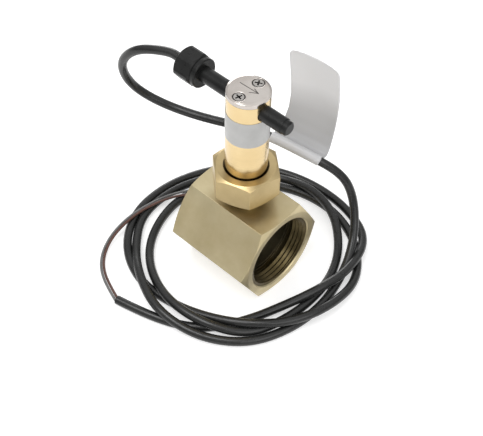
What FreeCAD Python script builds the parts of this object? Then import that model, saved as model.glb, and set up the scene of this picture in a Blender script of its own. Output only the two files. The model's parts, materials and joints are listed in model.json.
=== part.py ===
"""Paddle flow switch for G 1 1/4 pipework: a hexagonal brass tee, a tower held by a union nut, a
pivoted paddle with a magnet on its upper arm, and a sealed reed tube that is clamped across the tower.

Frame: the origin is at the middle of the tee's lower flat, +X is the flow, +Z is up the tower. In mm.
"""
import FreeCAD, Part
import math
import os
import re
import Sketcher

V = FreeCAD.Vector

# Every size that can be chosen by itself, in mm or degrees.
SIZES = {
    # Tee: a bar of hexagonal section, bored and threaded from both ends.
    "flow_length": 52.0,
    "tee_across_flats": 50.0,
    "tee_face_radius": 24.9,
    "tee_chamfer_angle": 20.0,
    "port_thread_radius": 20.95,
    "port_mouth_flare": 0.65,
    "port_mouth_depth": 0.9,
    "port_thread_depth": 12.0,
    "through_bore_radius": 18.5,
    "branch_hole_radius": 10.45,
    # Neck bush, screwed into the tee's top.
    "shoulder_rise": 2.2,
    "shoulder_slope": 1.6,
    "neck_relief_radius": 12.2,
    "neck_thread_radius": 12.95,
    "neck_thread_length": 6.2,
    "neck_length": 15.2,
    "neck_bore_radius": 8.2,
    "bush_spigot_length": 6.2,
    # Union nut.
    "nut_across_flats": 32.0,
    "nut_height": 15.2,
    "nut_web": 3.3,
    "nut_hole_radius": 11.5,
    "nut_chamfer_angle": 26.0,
    "nut_face_radius": 15.2,
    "nut_turn": 19.2,
    # Tower.
    "seal_thickness": 0.8,
    "seal_inner_radius": 9.0,
    "flange_radius": 12.8,
    "flange_thickness": 3.0,
    "tower_radius": 10.85,
    "tower_height": 53.2,
    "carrier_bore_radius": 8.0,
    "upper_bore_radius": 7.6,
    "roof_wall": 2.95,
    "slot_radius": 4.35,
    "tube_drop": 5.4,
    "clamp_tap_radius": 1.25,
    "clamp_tap_depth": 10.0,
    # Label band round the tower.
    "band_rise": 28.3,
    "band_height": 15.4,
    "band_thickness": 0.15,
    # Cap, its two countersunk screws and the saddle under it.
    "cap_radius": 10.9,
    "cap_thickness": 2.8,
    "cap_bevel_width": 1.2,
    "cap_bevel_height": 0.45,
    "notch_depth": 1.4,
    "screw_offset": 6.75,
    "screw_head_radius": 2.9,
    "screw_head_height": 1.7,
    "screw_radius": 1.2,
    "screw_length": 10.0,
    "countersink_radius": 3.3,
    "countersink_depth": 0.15,
    "saddle_length": 15.0,
    "saddle_height": 5.2,
    # Switch tube: it slides in the tower's slot until the cap clamps it.
    "tube_radius": 4.05,
    "tube_bore_radius": 3.0,
    "tube_front": 23.3,
    "tube_back": 37.0,
    "tube_end_chamfer": 0.4,
    "plug_radius": 3.65,
    "plug_head": 2.7,
    "plug_bevel": 0.7,
    "plug_spigot": 5.0,
    # Cable gland at the tube's back end.
    "collar_front": 28.8,
    "gland_collar_length": 2.4,
    "gland_collar_radius": 7.9,
    "gland_collar_bevel": 0.5,
    "gland_spigot_radius": 6.2,
    "gland_spigot_length": 6.8,
    "gland_nut_across_flats": 16.0,
    "gland_nut_length": 10.8,
    "gland_nut_gap": 0.5,
    "gland_nut_web": 1.7,
    "gland_nut_face_radius": 7.5,
    "gland_nut_chamfer_angle": 40.0,
    "gland_nut_corner_radius": 8.75,
    "gland_nut_turn": 4.0,
    "grip_radius": 5.0,
    # Reed switch inside the tube.
    "reed_glass_radius": 1.3,
    "reed_glass_wall": 0.35,
    "reed_glass_length": 16.0,
    "reed_end_wall": 1.2,
    "reed_lead_radius": 0.35,
    "reed_lead_reach": 13.0,
    "reed_blade_width": 1.2,
    "reed_blade_thickness": 0.25,
    "reed_overlap": 1.6,
    "reed_gap": 0.12,
    "reed_sleeve_length": 19.0,
    "potting_length": 6.0,
    # Pivot carrier in the tower's foot.
    "ring_rise": 0.9,
    "ring_thickness": 1.1,
    "ring_width": 1.7,
    "ring_opening": 6.0,
    "groove_depth": 0.5,
    "carrier_length": 12.0,
    "carrier_slot_width": 4.6,
    "stop_gap": 0.35,
    "swing_width": 2.9,
    "hub_room": 2.6,
    "pin_radius": 1.0,
    "pin_half_length": 7.4,
    # Lever, its magnet and the paddle.
    "hub_radius": 2.2,
    "hub_length": 4.2,
    "arm_radius": 1.3,
    "upper_arm": 22.8,
    "lower_arm": 36.0,
    "holder_radius": 2.1,
    "holder_length": 8.0,
    "holder_overlap": 1.8,
    "magnet_radius": 1.6,
    "magnet_length": 5.2,
    "foot_thickness": 1.6,
    "foot_width": 9.0,
    "foot_length": 9.0,
    "blade_thickness": 0.8,
    "blade_radius": 10.0,
    "blade_sweep": 16.0,
    "blade_shoulder": 13.0,
    "blade_neck_width": 11.0,
    "rivet_radius": 0.9,
    "rivet_head_radius": 1.6,
    "rivet_head_height": 0.6,
    "rivet_spacing": 5.0,
    "reset_magnet_radius": 1.5,
    "reset_magnet_length": 3.4,
    "reset_magnet_offset": 5.0,
    "reset_pocket_depth": 1.5,
    # Cable, its loose coil on the floor, the label on it and the two cores.
    "cable_radius": 2.4,
    "cable_inlet": 35.5,
    "coil_centre_x": -2.8,
    "coil_centre_y": 3.8,
    "coil_inner_radius": 43.8,
    "coil_outer_radius": 67.0,
    "coil_edge_chamfer": 1.4,
    "core_radius": 0.8,
    "core_tip_radius": 0.45,
    "core_tip_length": 5.0,
    "wrap_length": 27.0,
    "wrap_start": 158.0,
    "wrap_wall": 0.25,
    "flag_height": 55.0,
    "flag_thickness": 0.35,
    "flag_corner_radius": 4.0,
    # Clearances.
    "thread_clearance": 0.05,
    "press_clearance": 0.05,
    "running_clearance": 0.05,
    "glue_line": 0.02,
    "hole_clearance": 0.3,
}

# Places that follow from the sizes above, each an expression in them.
PLACES = {
    "bore_height": "tee_across_flats / 2",
    "neck_top": "tee_across_flats + neck_length",
    "bush_bottom": "tee_across_flats - bush_spigot_length",
    "shoulder_base": "tee_across_flats + shoulder_rise",
    "tower_base": "neck_top + seal_thickness",
    "flange_top": "tower_base + flange_thickness",
    "nut_top": "flange_top + nut_web",
    "nut_base": "nut_top - nut_height",
    "tower_top": "tower_base + tower_height",
    "tube_height": "tower_top - tube_drop",
    "bore_roof": "tube_height - slot_radius - roof_wall",
    "cap_top": "tower_top + cap_thickness",
    "notch_roof": "tower_top + notch_depth",
    "groove_base": "tower_base + ring_rise",
    "carrier_base": "groove_base + ring_thickness",
    "carrier_top": "carrier_base + carrier_length",
    "pivot_height": "carrier_base + carrier_length / 2",
    "clamp_hole_radius": "screw_radius + hole_clearance",
    "foot_top": "pivot_height - lower_arm",
    "blade_bottom": "bore_height - blade_sweep",
    "blade_face": "foot_thickness / 2",
    "rivet_height": "foot_top - foot_length / 2",
    "holder_base": "pivot_height + upper_arm - holder_overlap",
    "holder_top": "holder_base + holder_length",
    "gland_collar_back": "collar_front + gland_collar_length",
    "gland_spigot_back": "gland_collar_back + gland_spigot_length",
    "gland_nut_front": "gland_collar_back + gland_nut_gap",
    "gland_nut_back": "gland_nut_front + gland_nut_length",
    "grip_back": "gland_nut_back - gland_nut_web",
    "cable_hole_radius": "cable_radius + hole_clearance",
    "reset_base": "bore_roof + reset_pocket_depth - reset_magnet_length",
}

# The cable's way through the air: out of the gland, down in a bow, past the back of the tower and
# down on to the coil. Chosen by hand.
CABLE_LEAD = [
    (-52.0, 0.0, 113.8), (-70.6, -6.3, 109.1), (-83.0, -7.2, 93.4), (-84.1, -1.2, 74.2),
    (-73.5, 9.3, 60.7), (-50.2, 19.4, 57.6), (-23.1, 33.9, 57.1), (8.6, 41.0, 54.5),
    (22.9, 51.6, 43.1), (30.5, 53.4, 30.0), (38.5, 47.3, 18.5), (45.4, 35.1, 12.3),
    (48.9, 13.6, 12.3), (41.0, -4.0, 2.6),
]
CABLE_TAIL = [(3.0, -58.5, 2.5), (-7.0, -63.8, 2.5), (-17.5, -67.2, 2.5), (-26.0, -69.0, 2.5)]

# Each core runs from the jacket's end, over the coil and in behind the tee. Chosen by hand.
BROWN_CORE = [
    (-26.4, -68.3, 2.5), (-38.0, -70.3, 1.6), (-53.5, -60.0, 1.0), (-61.0, -42.0, 2.6),
    (-60.5, -27.0, 9.0), (-56.0, -11.0, 9.0), (-50.0, 4.0, 8.6), (-42.0, 16.5, 5.8),
]
GREY_CORE = [
    (-26.4, -69.9, 2.5), (-38.5, -73.2, 1.2), (-56.0, -61.5, 0.9), (-63.5, -41.5, 2.6),
    (-62.8, -26.0, 9.0), (-58.3, -9.0, 9.0), (-52.5, 6.5, 8.6), (-44.5, 19.5, 5.8),
]

# The label's flag in cross-section, out from the wrap's axis and up: a bend, then a straight rise.
FLAG_BEND = [(2.7, 1.4), (9.0, 7.6), (12.2, 19.0)]

doc = FreeCAD.newDocument("PaddleFlowSwitch")
sheet = doc.addObject("Spreadsheet::Sheet", "Sizes")
for row, (name, value) in enumerate(SIZES.items(), start=1):
    sheet.set(f"A{row}", name)
    sheet.set(f"B{row}", str(value))
    sheet.setAlias(f"B{row}", name)
doc.recompute()


def expression(text):
    """Write a formula in the names of SIZES and PLACES as an expression on the sheet."""
    def resolve(match):
        word = match.group()
        if word in PLACES:
            return f"({expression(PLACES[word])})"
        return f"Sizes.{word}" if word in SIZES else word
    return re.sub(r"[a-z_]{3,}", resolve, str(text))


def size(text):
    """The present value of such a formula."""
    return float(sheet.evalExpression(expression(text)))


def bind(item, **formulas):
    """Bind properties to formulas; a double underscore stands for the dot in a property's path."""
    for path, formula in formulas.items():
        item.setExpression(path.replace("__", "."), expression(formula))


def sketch_on(body, role, lift=None):
    """A new sketch on one of the body's own origin planes, lifted along the plane's normal."""
    sketch = body.newObject("Sketcher::SketchObject", f"{body.Name}_sketch")
    plane = next(item for item in body.Origin.OriginFeatures if item.Role == role)
    sketch.AttachmentSupport = [(plane, "")]
    sketch.MapMode = "FlatFace"
    if lift is not None:
        bind(sketch, AttachmentOffset__Base__z=lift)
    return sketch


def place_point(sketch, geometry, position, formulas):
    """Hold one point of the sketch at formulas for its two coordinates."""
    for kind, formula in zip(("DistanceX", "DistanceY"), formulas):
        constraint = Sketcher.Constraint(kind, -1, 1, geometry, position, size(formula))
        index = sketch.addConstraint(constraint)
        sketch.setExpression(f"Constraints[{index}]", expression(formula))


def add_outline(sketch, corners):
    """A closed outline of straight lines through the corners."""
    points = [V(size(across), size(up), 0) for across, up in corners]
    first = sketch.GeometryCount
    for start, end in zip(points, points[1:] + points[:1]):
        sketch.addGeometry(Part.LineSegment(start, end), False)
    count = len(points)
    for index in range(count):
        following = first + (index + 1) % count
        sketch.addConstraint(Sketcher.Constraint("Coincident", first + index, 2, following, 1))
    for index, corner in enumerate(corners):
        place_point(sketch, first + index, 1, corner)


def add_circle(sketch, radius, centre=("0", "0")):
    """A circle of a given radius about a centre."""
    middle = V(size(centre[0]), size(centre[1]), 0)
    index = sketch.addGeometry(Part.Circle(middle, V(0, 0, 1), size(radius)), False)
    place_point(sketch, index, 3, centre)
    constraint = sketch.addConstraint(Sketcher.Constraint("Radius", index, size(radius)))
    sketch.setExpression(f"Constraints[{constraint}]", expression(radius))


def hexagon(across_flats):
    """The corners of a hexagon with a flat on top."""
    corner = f"({across_flats}) / sqrt(3)"
    return [(f"{corner} * cos({60 * k})", f"{corner} * sin({60 * k})") for k in range(6)]


def new_body(label, height=None, along=None):
    """A body named after its piece, placed by formulas."""
    body = doc.addObject("PartDesign::Body", label)
    body.Label = label
    if height is not None:
        bind(body, Placement__Base__z=height)
    if along is not None:
        bind(body, Placement__Base__x=along)
    return body


def feature(body, kind, sketch, name, **formulas):
    """A pad, pocket, revolution or groove of a sketch."""
    item = body.newObject(f"PartDesign::{kind}", f"{body.Name}_{name}")
    item.Profile = sketch
    bind(item, **formulas)
    sketch.Visibility = False
    return item


def pad(body, sketch, length, midplane=False):
    """Extrude a sketch along its normal, or both ways from it."""
    item = feature(body, "Pad", sketch, "pad", Length=length)
    item.Midplane = midplane
    return item


def cut(body, sketch, name, depth=None, upward=False):
    """Pocket a sketch to a depth along its normal or against it, or right through both ways."""
    item = feature(body, "Pocket", sketch, name)
    if depth is None:
        item.Type = "ThroughAll"
        item.Midplane = True
    else:
        bind(item, Length=depth)
        item.Reversed = upward
    must_remove(body, item)
    return item


def turn(body, corners, axis="V_Axis", kind="Revolution"):
    """Revolve an outline of the XZ plane about one of the sketch's axes, as a lathe would."""
    sketch = sketch_on(body, "XZ_Plane")
    outlines = corners if isinstance(corners[0][0], tuple) else [corners]
    for outline in outlines:
        add_outline(sketch, outline)
    item = feature(body, kind, sketch, kind.lower())
    item.ReferenceAxis = (sketch, [axis])
    item.Angle = 360
    if kind == "Groove":
        must_remove(body, item)
    return item


def must_remove(body, item):
    """Stop if a cut has missed the solid."""
    doc.recompute()
    before = item.BaseFeature.Shape.Volume
    if item.Shape.isNull() or item.Shape.Volume > before - 1e-6:
        raise RuntimeError(f"{item.Name} of {body.Label} removes nothing")


def end_chamfers(half_length, corner_radius, face_radius, angle):
    """Two triangles that turn the corners off both ends of a hexagonal bar along X."""
    outer = f"(({corner_radius}) + 1)"
    run = f"(({outer} - {face_radius}) * tan({angle}))"
    return [
        [(f"{side}({half_length})", face_radius), (f"{side}({half_length})", outer),
         (f"{side}({half_length} - {run})", outer)]
        for side in ("", "-")
    ]


def cylinder(label, radius, height, x="0", y="0", z="0", axis=V(0, 0, 1)):
    """A plain round bar from a point along an axis."""
    item = doc.addObject("Part::Cylinder", label)
    item.Label = label
    bind(item, Radius=radius, Height=height)
    place(item, x, y, z, FreeCAD.Rotation(V(0, 0, 1), axis))
    return item


def box(label, length, width, height, x="0", y="0", z="0"):
    """A block whose corner is at a point."""
    item = doc.addObject("Part::Box", label)
    item.Label = label
    bind(item, Length=length, Width=width, Height=height)
    place(item, x, y, z, FreeCAD.Rotation())
    return item


def cone(label, lower, upper, height, x="0", y="0", z="0"):
    """A cone frustum that stands on a point."""
    item = doc.addObject("Part::Cone", label)
    item.Label = label
    bind(item, Radius1=lower, Radius2=upper, Height=height)
    place(item, x, y, z, FreeCAD.Rotation())
    return item


def place(item, x, y, z, rotation):
    """Turn an item, then bind where it stands."""
    item.Placement = FreeCAD.Placement(V(), rotation)
    bind(item, Placement__Base__x=x, Placement__Base__y=y, Placement__Base__z=z)


def difference(label, base, tool):
    """One solid less another."""
    item = doc.addObject("Part::Cut", label)
    item.Label = label
    item.Base = base
    item.Tool = tool
    return item


def union(label, items):
    """Solids joined into one."""
    item = doc.addObject("Part::MultiFuse", label)
    item.Label = label
    item.Shapes = items
    return item


def group(label, items):
    """Separate solids that share one node."""
    item = doc.addObject("Part::Compound", label)
    item.Label = label
    item.Links = items
    return item


def mirrored(label, source, normal):
    """A copy across a plane through the origin."""
    item = doc.addObject("Part::Mirroring", label)
    item.Label = label
    item.Source = source
    item.Normal = normal
    return item


# --- Tee and neck ---------------------------------------------------------------------------------

def make_tee():
    """Hexagonal bar, its end corners turned off, bored through and tapped at both ends and on top."""
    body = new_body("tee_body", height="bore_height")
    sketch = sketch_on(body, "YZ_Plane")
    add_outline(sketch, hexagon("tee_across_flats"))
    pad(body, sketch, "flow_length", midplane=True)
    turn(body, end_chamfers("flow_length / 2", "tee_across_flats / sqrt(3)", "tee_face_radius",
                            "tee_chamfer_angle"), "H_Axis", "Groove")
    end = "flow_length / 2"
    mouth = "port_thread_radius + port_mouth_flare"
    turn(body, [
        (f"-{end} - 1", "0"), (f"-{end} - 1", mouth), (f"-{end}", mouth),
        (f"port_mouth_depth - {end}", "port_thread_radius"),
        (f"port_thread_depth - {end}", "port_thread_radius"),
        (f"port_thread_depth - {end}", "through_bore_radius"),
        (f"{end} - port_thread_depth", "through_bore_radius"),
        (f"{end} - port_thread_depth", "port_thread_radius"),
        (f"{end} - port_mouth_depth", "port_thread_radius"),
        (f"{end}", mouth), (f"{end} + 1", mouth), (f"{end} + 1", "0"),
    ], "H_Axis", "Groove")
    branch = sketch_on(body, "XY_Plane")
    add_circle(branch, "branch_hole_radius")
    cut(body, branch, "branch", depth="tee_across_flats", upward=True)
    return body


def make_bush():
    """Threaded neck with a sloping shoulder above the tee and a relief under its upper thread."""
    body = new_body("neck_bush")
    spigot = "branch_hole_radius - thread_clearance"
    turn(body, [
        ("neck_bore_radius", "bush_bottom"), (spigot, "bush_bottom"), (spigot, "shoulder_base"),
        ("neck_relief_radius", "shoulder_base + shoulder_slope"),
        ("neck_relief_radius", "neck_top - neck_thread_length"),
        ("neck_thread_radius", "neck_top - neck_thread_length"),
        ("neck_thread_radius", "neck_top"), ("neck_bore_radius", "neck_top"),
    ])
    return body


def ring(label, inner, outer, base, thickness):
    """A flat washer about the tower's axis."""
    body = new_body(label)
    top = f"{base} + {thickness}"
    turn(body, [(inner, base), (outer, base), (outer, top), (inner, top)])
    return body


def make_union_nut():
    """Hexagonal nut with chamfered ends, a thread below and a web that holds the tower's flange."""
    body = new_body("union_nut", height="nut_top - nut_height / 2")
    sketch = sketch_on(body, "XY_Plane")
    add_outline(sketch, hexagon("nut_across_flats"))
    pad(body, sketch, "nut_height", midplane=True)
    triangles = end_chamfers("nut_height / 2", "nut_across_flats / sqrt(3)", "nut_face_radius",
                             "nut_chamfer_angle")
    turn(body, [[(radius, up) for up, radius in triangle] for triangle in triangles], kind="Groove")
    half = "nut_height / 2"
    turn(body, [
        ("0", f"-{half} - 1"), ("neck_thread_radius + thread_clearance", f"-{half} - 1"),
        ("neck_thread_radius + thread_clearance", f"{half} - nut_web"),
        ("nut_hole_radius", f"{half} - nut_web"), ("nut_hole_radius", f"{half} + 1"),
        ("0", f"{half} + 1"),
    ], kind="Groove")
    body.Placement.Rotation = FreeCAD.Rotation(V(0, 0, 1), size("nut_turn"))
    bind(body, Placement__Rotation__Angle="nut_turn")
    return body


# --- Tower and cap --------------------------------------------------------------------------------

def make_tower():
    """Flanged tower, bored from below to a roof, with a slot across its top for the switch tube."""
    body = new_body("tower_tube")
    turn(body, [
        ("carrier_bore_radius", "tower_base"), ("flange_radius", "tower_base"),
        ("flange_radius", "flange_top"), ("tower_radius", "flange_top"),
        ("tower_radius", "tower_top"), ("0", "tower_top"), ("0", "bore_roof"),
        ("upper_bore_radius", "bore_roof"), ("upper_bore_radius", "carrier_top"),
        ("carrier_bore_radius", "carrier_top"), ("carrier_bore_radius", "carrier_base"),
        ("carrier_bore_radius + groove_depth", "carrier_base"),
        ("carrier_bore_radius + groove_depth", "groove_base"),
        ("carrier_bore_radius", "groove_base"),
    ])
    saddle_seat = sketch_on(body, "YZ_Plane")
    add_circle(saddle_seat, "slot_radius", ("0", "tube_height"))
    cut(body, saddle_seat, "seat")
    slot = sketch_on(body, "YZ_Plane")
    add_outline(slot, [
        ("-slot_radius", "tube_height"), ("slot_radius", "tube_height"),
        ("slot_radius", "tower_top + 1"), ("-slot_radius", "tower_top + 1"),
    ])
    cut(body, slot, "slot")
    taps = sketch_on(body, "XY_Plane", lift="tower_top")
    for side in ("", "-"):
        add_circle(taps, "clamp_tap_radius", ("0", f"{side}screw_offset"))
    cut(body, taps, "taps", depth="clamp_tap_depth")
    reset = sketch_on(body, "XY_Plane", lift="bore_roof")
    add_circle(reset, "reset_magnet_radius + press_clearance", ("reset_magnet_offset", "0"))
    cut(body, reset, "reset", depth="reset_pocket_depth", upward=True)
    return body


def make_band():
    """The label wrapped round the tower."""
    body = new_body("tower_label")
    inner = "tower_radius + glue_line"
    outer = f"{inner} + band_thickness"
    base = "tower_base + band_rise"
    top = f"{base} + band_height"
    turn(body, [(inner, base), (outer, base), (outer, top), (inner, top)])
    return body


def make_cap():
    """Bevelled disc with two countersunk holes and a notch that clears the switch tube's slot."""
    body = new_body("cap_disc")
    turn(body, [
        ("0", "tower_top"), ("cap_radius", "tower_top"),
        ("cap_radius", "cap_top - cap_bevel_height"),
        ("cap_radius - cap_bevel_width", "cap_top"), ("0", "cap_top"),
    ])
    notch = sketch_on(body, "YZ_Plane")
    half = "slot_radius + press_clearance"
    add_outline(notch, [
        (f"-({half})", "tower_top - 1"), (half, "tower_top - 1"),
        (half, "notch_roof"), (f"-({half})", "notch_roof"),
    ])
    cut(body, notch, "notch")
    holes = sketch_on(body, "XY_Plane", lift="cap_top")
    for side in ("", "-"):
        add_circle(holes, "clamp_hole_radius", ("0", f"{side}screw_offset"))
    cut(body, holes, "holes", depth="cap_thickness + 1")
    for side in ("", "-"):
        sink = body.newObject("PartDesign::SubtractiveCone", "cap_countersink")
        deep = "screw_head_height + countersink_depth"
        bind(sink, Radius1="clamp_hole_radius", Radius2="countersink_radius", Height=deep,
             Placement__Base__y=f"{side}screw_offset", Placement__Base__z=f"cap_top - ({deep})")
        must_remove(body, sink)
    return body


def make_saddle():
    """Block between the cap and the switch tube, hollowed to the tube."""
    block = box("saddle_block", "saddle_length", "2 * (slot_radius - running_clearance)",
                "saddle_height", "-saddle_length / 2", "running_clearance - slot_radius",
                "notch_roof - saddle_height")
    hollow = cylinder("saddle_hollow", "tube_radius + running_clearance", "saddle_length + 2",
                      "-saddle_length / 2 - 1", "0", "tube_height", V(1, 0, 0))
    return difference("clamp_saddle", block, hollow)


def make_clamp_screws():
    """Two countersunk screws down into the tower's cheeks."""
    head_top = "cap_top - countersink_depth"
    head = cone("clamp_head", "screw_radius", "screw_head_radius", "screw_head_height",
                y="screw_offset", z=f"{head_top} - screw_head_height")
    shank = cylinder("clamp_shank", "screw_radius", "screw_length - screw_head_height / 2",
                     y="screw_offset", z=f"{head_top} - screw_length")
    near = union("clamp_screw_near", [head, shank])
    return group("clamp_screws", [near, mirrored("clamp_screw_far", near, V(0, 1, 0))])


# --- Switch tube and gland, made along X about the tube's own axis ---------------------------------

def make_switch_tube():
    """The tube, open at both ends."""
    body = new_body("switch_tube", height="tube_height")
    turn(body, [
        ("-tube_back", "tube_bore_radius"), ("-tube_back", "tube_radius"),
        ("tube_front - tube_end_chamfer", "tube_radius"),
        ("tube_front", "tube_radius - tube_end_chamfer"), ("tube_front", "tube_bore_radius"),
    ], "H_Axis")
    return body


def make_end_plug():
    """Bevelled head with a spigot in the tube's bore."""
    body = new_body("end_plug", height="tube_height")
    front = "tube_front + plug_head"
    spigot = "tube_bore_radius - press_clearance"
    turn(body, [
        ("tube_front - plug_spigot", "0"), ("tube_front - plug_spigot", spigot),
        ("tube_front", spigot), ("tube_front", "plug_radius"),
        (f"{front} - plug_bevel", "plug_radius"), (front, "plug_radius - plug_bevel"), (front, "0"),
    ], "H_Axis")
    return body


def make_gland_body():
    """Round collar and threaded spigot, bored for the tube and, behind it, for the cable."""
    body = new_body("gland_body", height="tube_height")
    bore = "tube_radius + press_clearance"
    turn(body, [
        ("-collar_front", bore), ("-collar_front", "gland_collar_radius - gland_collar_bevel"),
        ("-collar_front - gland_collar_bevel", "gland_collar_radius"),
        ("-gland_collar_back", "gland_collar_radius"), ("-gland_collar_back", "gland_spigot_radius"),
        ("-gland_spigot_back", "gland_spigot_radius"), ("-gland_spigot_back", "cable_hole_radius"),
        ("-tube_back", "cable_hole_radius"), ("-tube_back", bore),
    ], "H_Axis")
    return body


def make_gland_nut():
    """Hexagonal nut, its corners turned off and both ends chamfered, closed by a web at the cable."""
    body = new_body("gland_nut", height="tube_height", along="-(gland_nut_front + gland_nut_back) / 2")
    sketch = sketch_on(body, "YZ_Plane")
    add_outline(sketch, hexagon("gland_nut_across_flats"))
    pad(body, sketch, "gland_nut_length", midplane=True)
    half = "gland_nut_length / 2"
    turn(body, end_chamfers(half, "gland_nut_across_flats / sqrt(3)", "gland_nut_face_radius",
                            "gland_nut_chamfer_angle"), "H_Axis", "Groove")
    beyond = "gland_nut_across_flats / sqrt(3) + 1"
    turn(body, [
        (f"-{half} - 1", "gland_nut_corner_radius"), (f"{half} + 1", "gland_nut_corner_radius"),
        (f"{half} + 1", beyond), (f"-{half} - 1", beyond),
    ], "H_Axis", "Groove")
    turn(body, [
        (f"-{half} - 1", "0"), (f"-{half} - 1", "cable_hole_radius"),
        (f"gland_nut_web - {half}", "cable_hole_radius"),
        (f"gland_nut_web - {half}", "gland_spigot_radius + thread_clearance"),
        (f"{half} + 1", "gland_spigot_radius + thread_clearance"), (f"{half} + 1", "0"),
    ], "H_Axis", "Groove")
    body.Placement.Rotation = FreeCAD.Rotation(V(1, 0, 0), size("gland_nut_turn"))
    bind(body, Placement__Rotation__Angle="gland_nut_turn")
    return body


def tube_ring(label, inner, outer, back, front):
    """A ring or sleeve about the switch tube's axis, between two places along it."""
    body = new_body(label, height="tube_height")
    turn(body, [(back, inner), (back, outer), (front, outer), (front, inner)], "H_Axis")
    return body


def make_reed():
    """Sealed glass capsule with a blade and lead from each end, their tips a little apart."""
    glass = new_body("reed_glass", height="tube_height")
    half = "reed_glass_length / 2"
    inner = "reed_glass_radius - reed_glass_wall"
    lead_hole = "reed_lead_radius + glue_line"
    room = f"{half} - reed_end_wall"
    turn(glass, [
        (f"-{half}", lead_hole), (f"-{half}", "reed_glass_radius"), (half, "reed_glass_radius"),
        (half, lead_hole), (room, lead_hole), (room, inner), (f"-({room})", inner),
        (f"-({room})", lead_hole),
    ], "H_Axis")
    lead = cylinder("reed_lead_form", "reed_lead_radius", "reed_lead_reach - reed_glass_length / 2 + "
                    "reed_end_wall + 1", f"{half} - reed_end_wall - 1", "0", "tube_height", V(1, 0, 0))
    blade = box("reed_blade_form", f"{half} - reed_end_wall + reed_overlap / 2", "reed_blade_width",
                "reed_blade_thickness", "-reed_overlap / 2", "-reed_blade_width / 2",
                "tube_height + reed_gap / 2")
    front = union("reed_blade_front", [lead, blade])
    back = mirrored("reed_blade_back_form", front, V(1, 0, 0))
    lower = doc.addObject("Part::Mirroring", "reed_blade_back")
    lower.Source = back
    lower.Normal = V(0, 0, 1)
    bind(lower, Base__z="tube_height")
    return [glass, group("reed_blades", [front, lower])]


# --- Pivot, lever and paddle ----------------------------------------------------------------------

def make_carrier():
    """Round block with a stepped slot, whose four walls stop the lever at both ends of its swing."""
    body = new_body("bearing_carrier", height="pivot_height")
    sketch = sketch_on(body, "XY_Plane")
    add_circle(sketch, "carrier_bore_radius - press_clearance")
    pad(body, sketch, "carrier_length", midplane=True)
    rest = "(arm_radius + stop_gap)"
    reach = "(carrier_length / 2 + 1)"
    slot = sketch_on(body, "XZ_Plane")
    add_outline(slot, [
        (f"-{rest}", f"-{reach}"), ("swing_width", f"-{reach}"), ("swing_width", "hub_room"),
        (rest, "hub_room"), (rest, reach), ("-swing_width", reach),
        ("-swing_width", "-hub_room"), (f"-{rest}", "-hub_room"),
    ])
    item = feature(body, "Pocket", slot, "slot", Length="carrier_slot_width")
    item.Midplane = True
    must_remove(body, item)
    pin_hole = sketch_on(body, "XZ_Plane")
    add_circle(pin_hole, "pin_radius")
    cut(body, pin_hole, "pin_hole")
    return body


def make_retaining_ring():
    """Open spring ring in the tower's groove, under the carrier."""
    body = new_body("retaining_ring")
    outer = "carrier_bore_radius + groove_depth - press_clearance"
    inner = f"{outer} - ring_width"
    turn(body, [(inner, "groove_base"), (outer, "groove_base"),
                (outer, "carrier_base"), (inner, "carrier_base")])
    opening = sketch_on(body, "XZ_Plane", lift="carrier_bore_radius / 2")
    add_outline(opening, [
        ("-ring_opening / 2", "groove_base - 1"), ("ring_opening / 2", "groove_base - 1"),
        ("ring_opening / 2", "carrier_base + 1"), ("-ring_opening / 2", "carrier_base + 1"),
    ])
    cut(body, opening, "opening", depth="carrier_bore_radius", upward=True)
    return body


def make_lever():
    """Hub on the pivot pin, a round arm up to the magnet and down to the flat foot of the paddle."""
    hub = cylinder("lever_hub", "hub_radius", "hub_length", "0", "hub_length / 2", "pivot_height",
                   V(0, -1, 0))
    arm = cylinder("lever_arm", "arm_radius", "upper_arm + lower_arm", z="foot_top")
    foot = box("lever_foot", "foot_thickness", "foot_width", "foot_length + 1",
               "-foot_thickness / 2", "-foot_width / 2", "foot_top - foot_length")
    solid = union("lever_solid", [hub, arm, foot])
    bore = cylinder("lever_bore", "pin_radius + running_clearance", "hub_length + 2", "0",
                    "hub_length / 2 + 1", "pivot_height", V(0, -1, 0))
    rivet_holes = rivet_shanks("lever_rivet_hole", "rivet_radius + glue_line")
    return difference("lever", difference("lever_bored", solid, bore), rivet_holes)


def rivet_shanks(label, radius):
    """The two rivets' shanks, or the holes for them, through the lever's foot and the blade."""
    length = "foot_thickness + blade_thickness"
    shanks = [
        cylinder(f"{label}_{side_name}", radius, length, "-foot_thickness / 2",
                 f"{side}rivet_spacing / 2", "rivet_height", V(1, 0, 0))
        for side_name, side in (("near", "-"), ("far", ""))
    ]
    return group(label, shanks)


def make_magnet_holder():
    """Cup with the magnet in its top and the lever's arm in its foot."""
    body = new_body("magnet_holder")
    magnet_floor = "holder_top - magnet_length - 0.2 * holder_overlap"
    wall = "magnet_radius + glue_line"
    arm = "arm_radius + glue_line"
    arm_top = "pivot_height + upper_arm + glue_line"
    turn(body, [
        (arm, "holder_base"), ("holder_radius", "holder_base"), ("holder_radius", "holder_top"),
        (wall, "holder_top"), (wall, magnet_floor), ("0", magnet_floor), ("0", arm_top),
        (arm, arm_top),
    ])
    return body


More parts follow.
